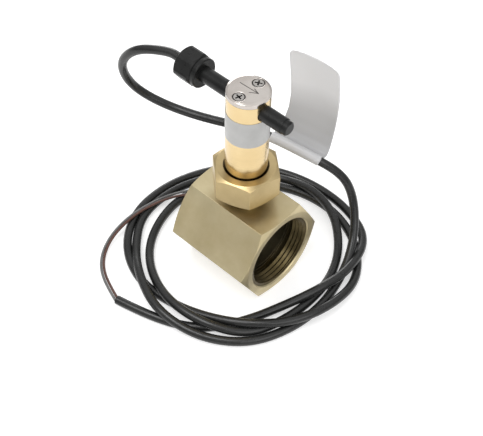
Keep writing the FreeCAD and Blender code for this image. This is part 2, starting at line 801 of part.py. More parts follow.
def make_blade():
    """Flat paddle with a round lower edge that follows the pipe, and shoulders up to the foot."""
    body = new_body("paddle_blade", along="blade_face")
    sketch = sketch_on(body, "YZ_Plane")
    centre = "(blade_bottom + blade_radius)"
    top = "foot_top"
    shoulder = "(blade_bottom + blade_radius + blade_shoulder)"
    edge = [("-blade_radius", centre), ("-blade_radius", shoulder), ("-blade_neck_width / 2", top),
            ("blade_neck_width / 2", top), ("blade_radius", shoulder), ("blade_radius", centre)]
    points = [V(size(across), size(up), 0) for across, up in edge]
    for start, end in zip(points, points[1:]):
        sketch.addGeometry(Part.LineSegment(start, end), False)
    middle = V(0, size(centre), 0)
    circle = Part.Circle(middle, V(0, 0, 1), size("blade_radius"))
    arc = sketch.addGeometry(Part.ArcOfCircle(circle, math.pi, 2 * math.pi), False)
    for index in range(len(points) - 2):
        sketch.addConstraint(Sketcher.Constraint("Coincident", index, 2, index + 1, 1))
    sketch.addConstraint(Sketcher.Constraint("Coincident", 0, 1, arc, 1))
    for index, corner in enumerate(edge[:-1]):
        place_point(sketch, index, 1, corner)
    place_point(sketch, arc, 3, ("0", centre))
    sketch.addConstraint(Sketcher.Constraint("Tangent", arc - 1, 2, arc, 2))
    pad(body, sketch, "blade_thickness")
    holes = sketch_on(body, "YZ_Plane")
    for side in ("", "-"):
        add_circle(holes, "rivet_radius + glue_line", (f"{side}rivet_spacing / 2", "rivet_height"))
    cut(body, holes, "holes", depth="blade_thickness", upward=True)
    return body


def make_rivets():
    """Two rivets with a low head on each side."""
    rivets = []
    for side_name, side in (("near", "-"), ("far", "")):
        where = f"{side}rivet_spacing / 2"
        shank = cylinder(f"rivet_shank_{side_name}", "rivet_radius", "foot_thickness + blade_thickness",
                         "-foot_thickness / 2", where, "rivet_height", V(1, 0, 0))
        back = cylinder(f"rivet_back_{side_name}", "rivet_head_radius", "rivet_head_height",
                        "-foot_thickness / 2 - rivet_head_height", where, "rivet_height", V(1, 0, 0))
        front = cylinder(f"rivet_front_{side_name}", "rivet_head_radius", "rivet_head_height",
                         "foot_thickness / 2 + blade_thickness", where, "rivet_height", V(1, 0, 0))
        rivets.append(union(f"rivet_{side_name}", [shank, back, front]))
    return group("paddle_rivets", rivets)


# --- Cable ----------------------------------------------------------------------------------------

def rounded_path(points, report):
    """Straight runs joined by tangent arcs, each as large as its two runs allow."""
    edges = []
    start = points[0]
    radii = []
    for before, corner, after in zip(points, points[1:], points[2:]):
        inward = (before - corner).normalize()
        outward = (after - corner).normalize()
        reach = 0.45 * min(before.distanceToPoint(corner), corner.distanceToPoint(after))
        half_turn = (math.pi - inward.getAngle(outward)) / 2
        radius = reach / math.tan(half_turn)
        arc_start = corner + inward * reach
        arc_end = corner + outward * reach
        bisector = (inward + outward).normalize()
        middle = corner + bisector * (radius / math.cos(half_turn) - radius)
        edges.append(Part.LineSegment(start, arc_start).toShape())
        edges.append(Part.Arc(arc_start, middle, arc_end).toShape())
        start = arc_end
        radii.append(round(radius, 1))
    edges.append(Part.LineSegment(start, points[-1]).toShape())
    print(report, "bend radii", radii)
    return Part.Wire(edges)


def shape_feature(label, shape):
    """A piece whose shape is made directly."""
    item = doc.addObject("Part::Feature", label)
    item.Label = label
    item.Shape = shape
    return item


def stretch_of(path, start, length):
    """The part of a path between two distances along it."""
    edges = []
    passed = 0.0
    for edge in path.OrderedEdges:
        low = max(start - passed, 0.0)
        high = min(start + length - passed, edge.Length)
        if high - low > 1e-3:
            first, last = (edge.getParameterByLength(reach) for reach in (low, high))
            edges.append(edge.Curve.toShape(first, last))
        passed += edge.Length
    return Part.Wire(edges)


def sweep_round(path, radius):
    """A round solid along a path."""
    first = path.OrderedEdges[0]
    start = first.valueAt(first.FirstParameter)
    section = Part.Wire(Part.makeCircle(radius, start, first.tangentAt(first.FirstParameter)))
    return path.makePipeShell([section], True, False)


def flexible_tube(label, radius, route):
    """A round tube along a route, and a comparison of its volume with section times length."""
    path = rounded_path([V(*point) for point in route], label)
    solid = sweep_round(path, radius)
    expected = math.pi * radius ** 2 * path.Length
    print(f"{label} length {path.Length:.1f} volume ratio {solid.Volume / expected:.4f}")
    return shape_feature(label, solid)


def make_cable():
    """The lead from the gland to the coil, the coil's outer shape, and the tail with its two cores."""
    inlet = (-size("cable_inlet"), 0.0, size("tube_height"))
    lead = flexible_tube("cable_lead", size("cable_radius"), [inlet] + CABLE_LEAD)
    outer = cylinder("coil_outer", "coil_outer_radius", "2 * cable_radius", "coil_centre_x",
                     "coil_centre_y")
    inner = cylinder("coil_inner", "coil_inner_radius", "2 * cable_radius", "coil_centre_x",
                     "coil_centre_y")
    ring_block = difference("coil_ring", outer, inner)
    doc.recompute()
    coil = doc.addObject("Part::Chamfer", "cable_coil")
    coil.Base = ring_block
    edge_size = size("coil_edge_chamfer")
    circles = [index for index, edge in enumerate(ring_block.Shape.Edges, start=1)
               if edge.Curve.TypeId == "Part::GeomCircle"]
    coil.Edges = [(index, edge_size, edge_size) for index in circles]
    tail = flexible_tube("cable_tail", size("cable_radius"), CABLE_TAIL)
    cores = [flexible_tube("brown_core", size("core_radius"), BROWN_CORE),
             flexible_tube("grey_core", size("core_radius"), GREY_CORE)]
    tips = []
    for name, route in (("brown", BROWN_CORE), ("grey", GREY_CORE)):
        end = V(*route[-1])
        heading = (end - V(*route[-2])).normalize()
        tips.append(cylinder(f"{name}_tip", "core_tip_radius", "core_tip_length", str(end.x), str(end.y),
                             str(end.z), heading))
    return [lead, coil, tail, *cores, group("core_tips", tips)]


def make_label_on_cable():
    """A label round the cable's straightest stretch, its two ends stuck together as a flag."""
    route = [V(-size("cable_inlet"), 0, size("tube_height"))] + [V(*point) for point in CABLE_LEAD]
    length = size("wrap_length")
    path = stretch_of(rounded_path(route, "label"), size("wrap_start"), length)
    inner = size("cable_radius + glue_line")
    wrap = sweep_round(path, inner + size("wrap_wall")).cut(sweep_round(path, inner))
    ends = path.OrderedVertexes
    foot = ends[0].Point
    chord = ends[-1].Point - foot
    aside = V(-chord.y, chord.x, 0).normalize()
    thickness = size("flag_thickness")

    def section_point(out, up):
        return foot + aside * out + V(0, 0, up)

    inside = [section_point(out, up) for out, up in FLAG_BEND]
    outside = [section_point(out + thickness, up - thickness / 2) for out, up in FLAG_BEND]
    top_inside = section_point(FLAG_BEND[-1][0], size("flag_height"))
    top_outside = section_point(FLAG_BEND[-1][0] + thickness, size("flag_height"))
    outline = Part.Wire([
        Part.Arc(*inside).toShape(), Part.LineSegment(inside[-1], top_inside).toShape(),
        Part.LineSegment(top_inside, top_outside).toShape(),
        Part.LineSegment(top_outside, outside[-1]).toShape(),
        Part.Arc(*reversed(outside)).toShape(), Part.LineSegment(outside[0], inside[0]).toShape(),
    ])
    flag = Part.Face(outline).extrude(chord)
    corners = [edge for edge in flag.Edges
               if abs(edge.Length - thickness) < thickness / 10
               and edge.CenterOfMass.z > top_inside.z - length]
    flag = flag.makeFillet(size("flag_corner_radius"), corners)
    return [shape_feature("label_wrap", wrap), shape_feature("label_flag", flag)]


def build_all():
    """Make every piece, in the order in which the switch is put together."""
    pieces = [
        make_tee(),
        make_bush(),
        make_union_nut(),
        ring("tower_seal", "seal_inner_radius", "flange_radius", "neck_top", "seal_thickness"),
        make_tower(),
        make_band(),
        make_cap(),
        make_saddle(),
        make_clamp_screws(),
        make_switch_tube(),
        make_end_plug(),
        make_gland_body(),
        make_gland_nut(),
        tube_ring("gland_grip", "cable_hole_radius", "grip_radius", "-grip_back",
                  "-gland_spigot_back"),
        tube_ring("reed_sleeve", "reed_glass_radius + press_clearance",
                  "tube_bore_radius - press_clearance", "-reed_sleeve_length / 2",
                  "reed_sleeve_length / 2"),
        *make_reed(),
        tube_ring("potting", "reed_lead_radius + glue_line", "tube_bore_radius - press_clearance",
                  "-reed_sleeve_length / 2 - potting_length", "-reed_sleeve_length / 2"),
        make_carrier(),
        cylinder("pivot_pin", "pin_radius", "2 * pin_half_length", "0", "pin_half_length",
                 "pivot_height", V(0, -1, 0)),
        make_retaining_ring(),
        make_lever(),
        make_magnet_holder(),
        cylinder("drive_magnet", "magnet_radius", "magnet_length", z="holder_top - magnet_length"),
        make_blade(),
        make_rivets(),
        cylinder("reset_magnet", "reset_magnet_radius", "reset_magnet_length", "reset_magnet_offset",
                 "0", "reset_base"),
        *make_cable(),
        *make_label_on_cable(),
    ]
    return pieces


def check_and_write(pieces):
    """Check every object of the document, then write each piece's solids to its own file."""
    doc.recompute()
    for item in doc.Objects:
        if "Invalid" in item.State or "Error" in item.State:
            raise RuntimeError(f"{item.Label} failed: {item.State}")
    for piece in pieces:
        if piece.Shape.isNull() or not piece.Shape.isValid() or not piece.Shape.Solids:
            raise RuntimeError(f"{piece.Label} has no valid solid")
    os.makedirs("parts", exist_ok=True)
    for piece in pieces:
        piece.Shape.exportStep(f"parts/{piece.Label}.step")
        print(f"{piece.Label}: {len(piece.Shape.Solids)} solid(s), {piece.Shape.Volume:.1f} mm3")


check_and_write(build_all())
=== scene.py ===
"""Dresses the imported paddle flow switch: cable, threads, screws, label, finishes, light and camera."""

import bmesh
import bpy
import json
import math
from mathutils import Matrix, Vector


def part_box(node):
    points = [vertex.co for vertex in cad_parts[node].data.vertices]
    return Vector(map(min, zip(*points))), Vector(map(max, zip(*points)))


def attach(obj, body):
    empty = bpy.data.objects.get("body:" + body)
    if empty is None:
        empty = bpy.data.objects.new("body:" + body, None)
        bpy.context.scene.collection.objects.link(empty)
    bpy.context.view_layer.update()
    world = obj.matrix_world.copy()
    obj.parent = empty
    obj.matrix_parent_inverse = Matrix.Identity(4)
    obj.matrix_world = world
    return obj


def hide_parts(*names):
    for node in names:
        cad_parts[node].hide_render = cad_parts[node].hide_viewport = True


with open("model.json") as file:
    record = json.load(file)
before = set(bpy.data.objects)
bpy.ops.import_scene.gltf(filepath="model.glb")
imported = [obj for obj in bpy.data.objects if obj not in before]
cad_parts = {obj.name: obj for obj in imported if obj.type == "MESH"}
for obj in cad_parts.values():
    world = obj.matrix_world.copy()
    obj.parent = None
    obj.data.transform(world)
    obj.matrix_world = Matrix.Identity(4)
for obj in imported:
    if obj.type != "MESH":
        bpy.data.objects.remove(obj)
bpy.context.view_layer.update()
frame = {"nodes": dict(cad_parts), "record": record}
nodes = frame["nodes"]

# Sizes that several pieces share, in millimetres.
MM = 0.001
PORT_AXIS = 25.0
TUBE_AXIS = 113.8
CABLE_DIAMETER = 4.8
CORE_DIAMETER = 1.4


def mm(point):
    """A point given in millimetres, in metres."""
    return Vector(point) * MM


def add_item(name, data):
    """A new object in the scene."""
    item = bpy.data.objects.new(name, data)
    bpy.context.scene.collection.objects.link(item)
    return item


def add_piece(name, data):
    """A new object that rides on the housing."""
    item = add_item(name, data)
    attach(item, "housing")
    return item


def smooth(item, angle):
    """Smooth shading, with edges sharper than an angle left sharp."""
    item.data.shade_smooth()
    item.data.set_sharp_from_angle(angle=math.radians(angle))


def thicken(item, thickness):
    """Give a film its thickness, half on each side of its mesh."""
    solid = item.modifiers.new("thickness", "SOLIDIFY")
    solid.thickness = thickness * MM
    solid.offset = 0
    smooth(item, 60)


def grid_mesh(name, rows):
    """A mesh over a grid of points."""
    across = len(rows[0])
    vertices = [point for row in rows for point in row]
    faces = [
        (row * across + column, row * across + column + 1, (row + 1) * across + column + 1,
         (row + 1) * across + column)
        for row in range(len(rows) - 1) for column in range(across - 1)
    ]
    data = bpy.data.meshes.new(name)
    data.from_pydata(vertices, [], faces)
    data.update()
    return data


# --- Camera ----------------------------------------------------------------------------------------

# The view from above and to the right of the flow's axis, in degrees and millimetres.
VIEW_AZIMUTH, VIEW_ELEVATION, VIEW_ROLL = 41.9, 48.68, 1.76
VIEW_DISTANCE = 557.76
VIEW_TARGET_HEIGHT, VIEW_SHIFT_RIGHT, VIEW_SHIFT_UP = 60, -2.108, -18.646
LENS, SENSOR_WIDTH = 82.17, 36


def add_camera():
    """A camera aimed past a point over the tee, and turned a little about its own axis."""
    azimuth = math.radians(VIEW_AZIMUTH)
    elevation = math.radians(VIEW_ELEVATION)
    roll = math.radians(VIEW_ROLL)
    back = Vector((math.sin(azimuth) * math.cos(elevation),
                   -math.cos(azimuth) * math.cos(elevation),
                   math.sin(elevation)))
    level = Vector((math.cos(azimuth), math.sin(azimuth), 0))
    upright = back.cross(level)
    right = level * math.cos(roll) + upright * math.sin(roll)
    up = upright * math.cos(roll) - level * math.sin(roll)
    target = mm((0, 0, VIEW_TARGET_HEIGHT)) + right * VIEW_SHIFT_RIGHT * MM + up * VIEW_SHIFT_UP * MM
    data = bpy.data.cameras.new("camera")
    data.sensor_width = SENSOR_WIDTH
    data.lens = LENS
    data.clip_start = 0.01
    data.clip_end = 20
    camera = add_item("camera", data)
    rotation = Matrix((right, up, back)).transposed()
    camera.matrix_world = Matrix.Translation(target + back * VIEW_DISTANCE * MM) @ rotation.to_4x4()
    bpy.context.scene.camera = camera


add_camera()


# --- Materials -------------------------------------------------------------------------------------

class Finish:
    """A procedural material: a principled shader with a few helpers to wire noise into it.

    It starts with a plain colour and roughness; tint and gloss vary them over the surface.
    Places and distances are in millimetres, in the object's own coordinates.
    """

    def __init__(self, name, colour, roughness, metallic=0.0, **constants):
        self.material = bpy.data.materials.new(name)
        self.material.use_nodes = True
        self.tree = self.material.node_tree
        self.shader = self.tree.nodes["Principled BSDF"]
        self.shader.inputs["Base Color"].default_value = (*colour, 1)
        self.shader.inputs["Roughness"].default_value = roughness
        self.shader.inputs["Metallic"].default_value = metallic
        for label, value in constants.items():
            self.shader.inputs[label.replace("_", " ")].default_value = value
        self.place = self.tree.nodes.new("ShaderNodeTexCoord").outputs["Object"]
        self.normal = None

    def noise(self, scale, detail, stretch=None):
        """Noise with so many waves a metre; stretch scales each axis first."""
        place = self.place
        if stretch is not None:
            mapping = self.tree.nodes.new("ShaderNodeMapping")
            mapping.inputs["Scale"].default_value = stretch
            self.tree.links.new(place, mapping.inputs["Vector"])
            place = mapping.outputs["Vector"]
        node = self.tree.nodes.new("ShaderNodeTexNoise")
        node.inputs["Scale"].default_value = scale
        node.inputs["Detail"].default_value = detail
        node.inputs["Roughness"].default_value = 0.6
        self.tree.links.new(place, node.inputs["Vector"])
        return node.outputs["Fac"]

    def span(self, value, low, high):
        """0 where a distance is low and 1 where it is high."""
        node = self.tree.nodes.new("ShaderNodeMapRange")
        node.inputs["From Min"].default_value = low * MM
        node.inputs["From Max"].default_value = high * MM
        self.tree.links.new(value, node.inputs["Value"])
        return node.outputs["Result"]

    def height(self, low, high):
        """0 at one height and 1 at another."""
        split = self.tree.nodes.new("ShaderNodeSeparateXYZ")
        self.tree.links.new(self.place, split.inputs["Vector"])
        return self.span(split.outputs["Z"], low, high)

    def reach(self, axes, centre, low, high):
        """0 within one distance of a centre and 1 beyond another, along the axes that are 1."""
        aside = self.tree.nodes.new("ShaderNodeVectorMath")
        aside.operation = "MULTIPLY_ADD"
        aside.inputs[1].default_value = axes
        aside.inputs[2].default_value = -mm(centre)
        self.tree.links.new(self.place, aside.inputs[0])
        length = self.tree.nodes.new("ShaderNodeVectorMath")
        length.operation = "LENGTH"
        self.tree.links.new(aside.outputs["Vector"], length.inputs[0])
        return self.span(length.outputs["Value"], low, high)

    def ramp(self, value, stops):
        """Map a value to greys or colours at stops."""
        node = self.tree.nodes.new("ShaderNodeValToRGB")
        elements = node.color_ramp.elements
        while len(elements) < len(stops):
            elements.new(0.5)
        for element, (position, colour) in zip(elements, stops):
            element.position = position
            element.color = (*colour, 1) if isinstance(colour, tuple) else (colour, colour, colour, 1)
        self.tree.links.new(value, node.inputs["Fac"])
        return node.outputs["Color"]

    def tint(self, value, stops):
        """Colour the surface from a value."""
        self.tree.links.new(self.ramp(value, stops), self.shader.inputs["Base Color"])

    def darken(self, value, share):
        """Take a share off the colour where a value is 0, and nothing where it is 1."""
        keep = self.ramp(value, [(0.0, 1 - share), (1.0, 1.0)])
        mix = self.tree.nodes.new("ShaderNodeMix")
        mix.data_type = "RGBA"
        mix.blend_type = "MULTIPLY"
        # A mix node's colour sockets come after those that mix numbers and vectors.
        factor, first, second = (mix.inputs[index] for index in (0, 6, 7))
        factor.default_value = 1.0
        colour = self.shader.inputs["Base Color"]
        self.tree.links.new(colour.links[0].from_socket, first)
        self.tree.links.new(keep, second)
        self.tree.links.new(mix.outputs[2], colour)

    def gloss(self, value, low, high):
        """Vary the roughness with a value."""
        node = self.tree.nodes.new("ShaderNodeMapRange")
        node.inputs["From Min"].default_value = 0.3
        node.inputs["From Max"].default_value = 0.7
        node.inputs["To Min"].default_value = low
        node.inputs["To Max"].default_value = high
        self.tree.links.new(value, node.inputs["Value"])
        self.tree.links.new(node.outputs["Result"], self.shader.inputs["Roughness"])

    def round_edges(self, radius):
        """Soften the shading of sharp edges."""
        node = self.tree.nodes.new("ShaderNodeBevel")
        node.samples = 6
        node.inputs["Radius"].default_value = radius * MM
        self.normal = node.outputs["Normal"]
        self.tree.links.new(self.normal, self.shader.inputs["Normal"])

    def bump(self, value, height, strength):
        """Raise the surface by a value times a height, on top of what is there."""
        node = self.tree.nodes.new("ShaderNodeBump")
        node.inputs["Strength"].default_value = strength
        node.inputs["Distance"].default_value = height * MM
        self.tree.links.new(value, node.inputs["Height"])
        if self.normal is not None:
            self.tree.links.new(self.normal, node.inputs["Normal"])
        self.normal = node.outputs["Normal"]
        self.tree.links.new(self.normal, self.shader.inputs["Normal"])


def blasted_brass():
    """Fine blasted brass of the tee, with faint stains, and painted shade inside the bore."""
    finish = Finish("blasted_brass", (0.53, 0.44, 0.27), 0.42, 1.0)
    finish.round_edges(0.35)
    finish.tint(finish.noise(38, 4), [(0.3, (0.47, 0.39, 0.225)), (0.5, (0.53, 0.45, 0.275)),
                                      (0.72, (0.61, 0.53, 0.335))])
    # Painted shade: the brass turns darker within about 21 mm of the port's axis, inside the bore.
    finish.darken(finish.reach((0, 1, 1), (0, 0, PORT_AXIS), 20.96, 21.2), 0.75)
    finish.gloss(finish.noise(90, 5), 0.36, 0.48)
    finish.bump(finish.noise(2600, 2), 0.03, 0.55)
    return finish.material


def shaded_thread_brass():
    """Cut brass of the threads, painted dark all over as shade deep in the bore, with patches of brighter
    metal.
    """
    finish = Finish("shaded_thread_brass", (0.50, 0.39, 0.2), 0.3, 1.0)
    # Painted shade: both colours are far darker than the brass itself.
    finish.tint(finish.noise(120, 4, (0.3, 1, 1)),
                [(0.3, (0.075, 0.056, 0.024)), (0.7, (0.14, 0.11, 0.055))])
    finish.gloss(finish.noise(300, 3), 0.3, 0.45)
    return finish.material


def shaded_nut_brass():
    """Turned and milled brass of the nut, with painted shade where the tower stands in it."""
    finish = Finish("shaded_nut_brass", (0.66, 0.5, 0.24), 0.34, 1.0)
    finish.round_edges(0.3)
    finish.tint(finish.noise(60, 4), [(0.3, (0.45, 0.345, 0.175)), (0.7, (0.56, 0.44, 0.235))])
    # Painted shade: darker within 11.55 mm of the nut's axis, where the tower and the neck stand.
    finish.darken(finish.reach((1, 1, 0), (0, 0, 0), 11.55, 11.9), 0.55)
    finish.gloss(finish.noise(220, 4), 0.28, 0.42)
    finish.bump(finish.noise(1500, 3, (1, 1, 4)), 0.02, 0.4)
    return finish.material


def tower_brass():
    """Bright turned brass of the tower, with turning lines round it and painted shade at its foot."""
    finish = Finish("tower_brass", (0.86, 0.66, 0.33), 0.16, 1.0)
    finish.round_edges(0.2)
    finish.tint(finish.noise(50, 3), [(0.3, (0.66, 0.495, 0.26)), (0.7, (0.73, 0.575, 0.325))])
    # Painted shade: darker below 80 mm, where the tower stands in the nut.
    finish.darken(finish.height(70, 80), 0.7)
    lines = finish.noise(900, 3, (0.02, 0.02, 1))
    finish.gloss(lines, 0.12, 0.24)
    finish.bump(lines, 0.006, 0.35)
    return finish.material


def nickel():
    """Satin nickel of the cap."""
    finish = Finish("nickel", (0.66, 0.62, 0.58), 0.24, 1.0)
    finish.round_edges(0.5)
    finish.tint(finish.noise(70, 2), [(0.3, (0.50, 0.455, 0.42)), (0.7, (0.62, 0.58, 0.545))])
    finish.gloss(finish.noise(110, 3, (1, 0.3, 1)), 0.14, 0.26)
    finish.bump(finish.noise(240, 2), 0.01, 0.35)
    return finish.material


def steel(name, colour, rough):
    """Drawn or rolled metal, bright with a fine grain across its height."""
    finish = Finish(name, colour, rough, 1.0)
    finish.round_edges(0.1)
    finish.gloss(finish.noise(60, 2, (1, 1, 6)), rough - 0.01, rough + 0.03)
    return finish.material


def moulded(name, colour, rough):
    """Moulded plastic with a fine grain."""
    finish = Finish(name, colour, rough, Specular_IOR_Level=0.2)
    finish.round_edges(0.25)
    low = tuple(channel * 0.85 for channel in colour)
    high = tuple(min(1.0, channel * 1.2 + 0.004) for channel in colour)
    finish.tint(finish.noise(140, 4), [(0.3, low), (0.7, high)])
    finish.gloss(finish.noise(260, 4), rough - 0.06, rough + 0.08)
    finish.bump(finish.noise(1900, 3), 0.012, 0.5)
    return finish.material


def sheath(name, colour, rough):
    """Extruded sheath, a little uneven, with faint scuffs."""
    finish = Finish(name, colour, rough, Specular_IOR_Level=0.4)
    high = tuple(min(1.0, channel * 1.5 + 0.006) for channel in colour)
    finish.tint(finish.noise(75, 5), [(0.35, colour), (0.75, high)])
    finish.gloss(finish.noise(180, 4), rough - 0.07, rough + 0.1)
    finish.bump(finish.noise(420, 3), 0.02, 0.4)
    return finish.material


def silver_film():
    """Metallised film of the band, a little uneven."""
    finish = Finish("silver_film", (0.46, 0.455, 0.44), 0.34, 0.55)
    finish.tint(finish.noise(70, 3), [(0.3, (0.38, 0.378, 0.37)), (0.7, (0.45, 0.447, 0.44))])
    finish.gloss(finish.noise(300, 3), 0.28, 0.42)
    finish.bump(finish.noise(500, 3), 0.01, 0.5)
    return finish.material


def shaded_paper_film(name, colour):
    """Thin pale film of the cable's label, with painted shade that darkens it lower down, towards the
    cable.
    """
    finish = Finish(name, colour, 0.38)
    # Painted shade: the film's colour falls to about half from 112 mm down to 58 mm.
    stops = [(position, tuple(channel * share for channel in colour))
             for position, share in ((0.0, 0.55), (0.25, 0.64), (0.55, 0.96), (1.0, 1.0))]
    finish.tint(finish.height(58, 112), stops)
    finish.gloss(finish.noise(160, 3), 0.32, 0.46)
    finish.bump(finish.noise(110, 2), 0.05, 0.5)
    return finish.material


def glass():
    """Clear greenish glass of the reed capsule."""
    finish = Finish("glass", (0.78, 0.9, 0.82), 0.04, Transmission_Weight=0.9, IOR=1.5)
    finish.gloss(finish.noise(300, 2), 0.02, 0.07)
    return finish.material


finishes = {
    "cast_brass": blasted_brass(),
    "turned_brass": tower_brass(),
    "nickel": nickel(),
    "steel": steel("steel", (0.6, 0.6, 0.6), 0.26),
    "magnet": steel("magnet", (0.3, 0.3, 0.31), 0.36),
    "black_plastic": moulded("black_moulded", (0.0088, 0.009, 0.0088), 0.3),
    "white_plastic": moulded("white_moulded", (0.72, 0.72, 0.68), 0.4),
    "potting_resin": moulded("potting_resin", (0.02, 0.02, 0.02), 0.2),
    "rubber": moulded("rubber", (0.012, 0.012, 0.012), 0.6),
    "gasket": moulded("gasket", (0.035, 0.033, 0.03), 0.6),
    "glass": glass(),
    "silver_label": silver_film(),
    "cable_sheath": sheath("black_sheath", (0.0095, 0.0098, 0.0095), 0.25),
    "brown_sheath": sheath("brown_sheath", (0.085, 0.04, 0.03), 0.34),
    "grey_sheath": sheath("grey_sheath", (0.12, 0.12, 0.118), 0.34),
    "tinned_copper": steel("tinned_copper", (0.66, 0.56, 0.46), 0.34),
    "paper_label": shaded_paper_film("shaded_paper_film", (0.69, 0.69, 0.70)),
}


def dress_nodes():
    """Give each solid the finish of its slot, and the nut and the neck their own brass, with painted shade
    near the nut's axis.
    """
    for entry in frame["record"]["subparts"]:
        data = nodes[entry["node"]].data
        data.materials.clear()
        data.materials.append(finishes[entry["material_slot"]])
    milled = shaded_nut_brass()
    for name in ("union_nut", "neck_bush"):
        nodes[name].data.materials[0] = milled
    for node in nodes.values():
        smooth(node, 25)


dress_nodes()


# --- Cords -----------------------------------------------------------------------------------------

# From the gland round to the floor, and where the cable is cut off.
CABLE_INLET = (-35.5, 0, TUBE_AXIS)
CABLE_LEAD = [
    (-45.0, 0.0, TUBE_AXIS), (-53.0, 0.0, TUBE_AXIS), (-70.6, -6.3, 109.1), (-83.0, -7.2, 93.4),
    (-84.1, -1.2, 74.2), (-73.5, 9.3, 60.7), (-50.2, 19.4, 57.6), (-23.1, 33.9, 57.1),
    (8.6, 41.0, 54.5), (22.9, 51.6, 43.1), (30.5, 53.4, 30.0), (38.6, 47.1, 15.4),
    (45.2, 35.6, 6.6), (49.6, 22.0, 2.4),
]
CABLE_END = (-26.0, -69.0, 2.5)

# The two cores, from the cable's cut end to behind the tee.
BROWN_CORE = [
    (-26.4, -68.3, 2.5), (-36.0, -65.0, 1.6), (-47.0, -59.8, 0.9), (-54.5, -52.5, 1.4),
    (-58.6, -42.5, 4.2), (-59.9, -30.5, 6.0), (-60.2, -19.0, 5.8), (-57.6, -5.5, 5.8),
    (-51.5, 7.5, 5.8), (-42.0, 16.5, 5.8),
]
GREY_CORE = [
    (-26.4, -69.9, 2.5), (-36.5, -66.6, 1.4), (-48.0, -61.0, 0.8), (-56.0, -53.0, 1.2),
    (-60.0, -42.5, 4.2), (-61.5, -30.0, 6.0), (-61.5, -18.0, 5.8), (-59.0, -4.0, 5.8),
    (-53.2, 9.5, 5.8), (-44.5, 19.5, 5.8),
]

COIL_CENTRE = (-2.8, 3.8)
STATIONS = 16
# Each turn's radius and height at its stations, clockwise from +X: the strands cross each other.
COIL_TURNS = [
    [(55.5, 2.4), (58.5, 2.4), (63, 2.4), (64, 2.8), (64.5, 7.1), (60, 6.9), (58.5, 2.6), (60.5, 2.4),
     (58, 2.4), (55.5, 2.4), (55, 2.4), (55.5, 2.7), (55, 6.7), (54, 6.4), (51.5, 2.4), (50, 2.4)],
    [(49.5, 2.4), (52, 2.4), (58.5, 3.4), (58, 7), (56, 7.2), (53, 4.4), (51.5, 2.4), (50, 2.4),
     (50, 2.4), (49, 2.4), (48.5, 2.4), (49, 2.4), (53, 2.4), (57.5, 2.4), (61, 2.4), (63.5, 2.6)],
    [(61, 7.1), (58, 7.3), (54.5, 7.3), (52, 4.6), (53.5, 2.4), (60, 2.4), (64, 2.4), (65, 2.4),
     (62.5, 2.4), (60.5, 2.4), (60.5, 2.4), (60.5, 2.4), (61.5, 2.4), (64.5, 2.6), (66, 6.4), (57.5, 7.6)],
    [(49, 7.4), (45, 4), (48.5, 2.4), (58.5, 2.4), (66.5, 2.4)],
]
# How many times farther out than its curve a control point lies, at sixteen stations a turn.
CONTROL_REACH = 1.0195


def coil_points():
    """The coil's turns, clockwise from where the lead lands to where the tail leaves."""
    points = []
    for turn in COIL_TURNS:
        for station, (radius, height) in enumerate(turn):
            angle = -math.radians(360 / STATIONS * station)
            points.append((COIL_CENTRE[0] + CONTROL_REACH * radius * math.cos(angle),
                           COIL_CENTRE[1] + CONTROL_REACH * radius * math.sin(angle), height))
    return points


def add_cord(name, route, diameter, finish):
    """A round cord along a smooth spline through its route's control points, in millimetres."""
    data = bpy.data.curves.new(name, "CURVE")
    data.dimensions = "3D"
    data.resolution_u = 8
    data.bevel_depth = diameter / 2 * MM
    data.bevel_resolution = 6
    data.use_fill_caps = True
    spline = data.splines.new("NURBS")
    spline.points.add(len(route) - 1)
    for point, place in zip(spline.points, route):
        point.co = (*mm(place), 1)
    spline.order_u = 3
    spline.use_endpoint_u = True
    data.materials.append(finish)
    return add_piece(name, data)


def spline_points(cord):
    """The points of a cord's own spline, as it is drawn."""
    bare = cord.data.copy()
    bare.bevel_depth = 0
    probe = bpy.data.objects.new("probe", bare)
    mesh = bpy.data.meshes.new_from_object(probe)
    points = [vertex.co.copy() for vertex in mesh.vertices]
    bpy.data.objects.remove(probe)
    bpy.data.curves.remove(bare)
    bpy.data.meshes.remove(mesh)
    return points


def length_of(points):
    """The length of a line through points, in metres."""
    return sum((b - a).length for a, b in zip(points, points[1:]))


cable = add_cord("cable", [CABLE_INLET] + CABLE_LEAD + coil_points() + [CABLE_END], CABLE_DIAMETER,
                 finishes["cable_sheath"])
brown = add_cord("brown_wire", BROWN_CORE, CORE_DIAMETER, finishes["brown_sheath"])
grey = add_cord("grey_wire", GREY_CORE, CORE_DIAMETER, finishes["grey_sheath"])
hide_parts("cable_lead", "cable_coil", "cable_tail")
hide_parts("brown_core")
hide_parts("grey_core")
cable_line = spline_points(cable)


# --- Label on the cable ----------------------------------------------------------------------------

WRAP_RADIUS = 2.72
# The wrap's ends along X, on the stretch of the cable between two heights.
WRAP_START, WRAP_END = -14.5, 12.0
WRAP_HIGH, WRAP_LOW = 70, 30
WRAP_THICKNESS = 0.22
FLAG_THICKNESS = 0.25

# The flag's profile: out from the cable, up, and how far along the cable its two edges lie past the
# wrap's start and end.
FLAG_PROFILE = [
    (2.0, 1.0, 0.2, 2.0), (4.6, 1.7, 0.7, 2.7), (7.4, 4.4, 1.7, 2.9), (9.6, 9.0, 3.3, 3.0),
    (11.0, 16.0, 4.5, 3.4), (11.9, 25.0, 4.8, 3.7), (12.1, 35.0, 4.1, 3.8), (12.0, 44.0, 3.1, 3.2),
    (11.8, 50.0, 2.6, 2.7), (11.6, 54.0, 2.4, 2.3),
]
FLAG_BOW = 2.6
FLAG_CORNER = 4.5


